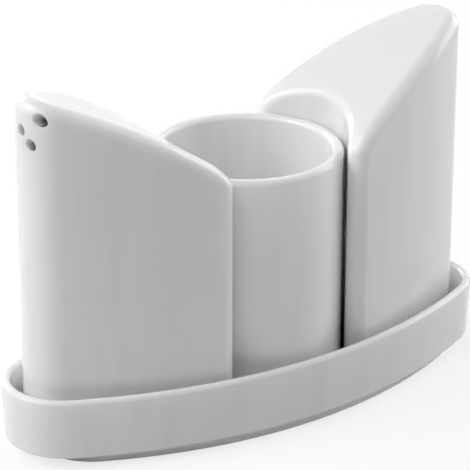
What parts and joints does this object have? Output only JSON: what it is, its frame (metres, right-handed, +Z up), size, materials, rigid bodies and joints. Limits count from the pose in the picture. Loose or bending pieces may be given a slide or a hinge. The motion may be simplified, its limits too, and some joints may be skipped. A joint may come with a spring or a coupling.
{
  "type": "salt and pepper shaker set",
  "caption": "Oval dish holding slant-topped salt and pepper shakers, one each side of a round toothpick cup, in glazed white porcelain.",
  "frame": {"origin": "centre of the foot ring, on the surface that the dish stands on", "axes": "+Z up, +X along the dish's long axis from the salt shaker towards the pepper shaker"},
  "size_m": [0.1274, 0.0518, 0.0847],
  "materials": {
    "porcelain": "clear gloss glaze over white porcelain",
    "stopper": "soft matt elastomer, milky white"
  },
  "bodies": {
    "dish": {"dish": "porcelain"},
    "salt_shaker": {"salt_shaker": "porcelain"},
    "salt_stopper": {"salt_stopper": "stopper"},
    "pepper_shaker": {"pepper_shaker": "porcelain"},
    "pepper_stopper": {"pepper_stopper": "stopper"},
    "toothpick_cup": {"toothpick_cup": "porcelain"}
  },
  "joints": [
    {"name": "salt_lift", "type": "slide", "parent": "dish", "child": "salt_shaker", "axis": [0, 0, 1], "range_m": [0, 0.09]},
    {"name": "pepper_lift", "type": "slide", "parent": "dish", "child": "pepper_shaker", "axis": [0, 0, 1], "range_m": [0, 0.09]},
    {"name": "cup_lift", "type": "slide", "parent": "dish", "child": "toothpick_cup", "axis": [0, 0, 1], "range_m": [0, 0.09]},
    {"name": "salt_stopper_pull", "type": "slide", "parent": "salt_shaker", "child": "salt_stopper", "axis": [0, 0, -1], "range_m": [0, 0.018]},
    {"name": "pepper_stopper_pull", "type": "slide", "parent": "pepper_shaker", "child": "pepper_stopper", "axis": [0, 0, -1], "range_m": [0, 0.018]}
  ],
  "couplings": [
    {"joint": "salt_stopper_pull", "follows": "salt_lift", "ratio": 0.2},
    {"joint": "pepper_stopper_pull", "follows": "pepper_lift", "ratio": 0.2}
  ]
}
